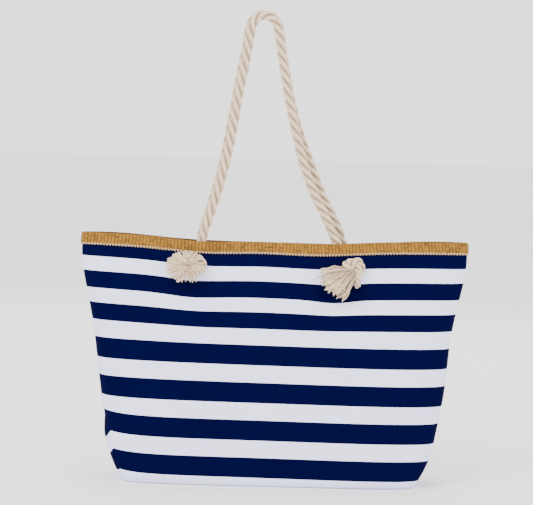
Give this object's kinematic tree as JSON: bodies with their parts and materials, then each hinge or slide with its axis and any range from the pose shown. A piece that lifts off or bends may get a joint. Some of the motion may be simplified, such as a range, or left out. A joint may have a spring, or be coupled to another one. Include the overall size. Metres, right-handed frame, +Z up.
{
  "type": "beach bag",
  "caption": "Striped canvas tote with a boxed base, a braided straw rim and two twisted rope handles knotted and frayed on the outside.",
  "frame": {"origin": "middle of the flat base, on the surface the bag stands on", "axes": "+X along the mouth, front of the bag towards -Y, +Z up to the handles"},
  "size_m": [0.5547, 0.1722, 0.675],
  "materials": {
    "canvas": "plain-weave cotton canvas, woven in navy and white bands",
    "straw_braid": "plaited paper straw",
    "lining": "thin plain-weave lining",
    "eyelet_metal": "nickel-plated",
    "rope": "three-strand twisted cotton",
    "rope_yarn": "loose cotton yarn",
    "zip_tape": "woven polyester tape",
    "zip_coil": "nylon coil",
    "zip_metal": "polished nickel"
  },
  "bodies": {
    "bag": {"back_eyelet_washers": "eyelet_metal", "back_eyelets": "eyelet_metal", "back_left_fray": "rope_yarn", "back_left_knot": "rope", "back_left_rope_end": "rope", "back_lining": "lining", "back_panel": "canvas", "back_right_fray": "rope_yarn", "back_right_knot": "rope", "back_right_rope_end": "rope", "front_eyelet_washers": "eyelet_metal", "front_eyelets": "eyelet_metal", "front_left_fray": "rope_yarn", "front_left_knot": "rope", "front_left_rope_end": "rope", "front_lining": "lining", "front_panel": "canvas", "front_right_fray": "rope_yarn", "front_right_knot": "rope", "front_right_rope_end": "rope", "main_zip_coil_back": "zip_coil", "main_zip_coil_front": "zip_coil", "main_zip_facing_back": "lining", "main_zip_facing_front": "lining", "main_zip_stops": "zip_metal", "main_zip_tape_back": "zip_tape", "main_zip_tape_front": "zip_tape", "pocket_zip_coil_lower": "zip_coil", "pocket_zip_coil_upper": "zip_coil", "pocket_zip_stops": "zip_metal", "pocket_zip_tape_lower": "zip_tape", "pocket_zip_tape_upper": "zip_tape", "rim_braid": "straw_braid", "slip_pocket": "lining", "zip_pocket_panel": "lining"},
    "front_handle": {"front_handle": "rope"},
    "back_handle": {"back_handle": "rope"},
    "main_zip_slider": {"main_zip_slider": "zip_metal"},
    "main_zip_pull": {"main_zip_pull": "zip_metal"},
    "pocket_zip_slider": {"pocket_zip_slider": "zip_metal"},
    "pocket_zip_pull": {"pocket_zip_pull": "zip_metal"}
  },
  "joints": [
    {"name": "front_handle_tip", "type": "hinge", "parent": "bag", "child": "front_handle", "pos_m": [0, -0.011, 0.372], "axis": [1, 0, 0], "range_deg": [0, 115]},
    {"name": "back_handle_tip", "type": "hinge", "parent": "bag", "child": "back_handle", "pos_m": [0, 0.011, 0.372], "axis": [-1, 0, 0], "range_deg": [0, 115]},
    {"name": "main_zip_run", "type": "slide", "parent": "bag", "child": "main_zip_slider", "axis": [0.9941, 0, -0.1081], "range_m": [0, 0.075]},
    {"name": "main_zip_pull_flip", "type": "hinge", "parent": "main_zip_slider", "child": "main_zip_pull", "pos_m": [0.15048, 0, 0.27166], "axis": [0, 1, 0], "range_deg": [0, 180]},
    {"name": "pocket_zip_run", "type": "slide", "parent": "bag", "child": "pocket_zip_slider", "axis": [1, 0, 0], "range_m": [0, 0.165]},
    {"name": "pocket_zip_pull_flip", "type": "hinge", "parent": "pocket_zip_slider", "child": "pocket_zip_pull", "pos_m": [-0.082, 0.05412, 0.22387], "axis": [0, -0.0727, 0.9974], "range_deg": [0, 180]}
  ]
}
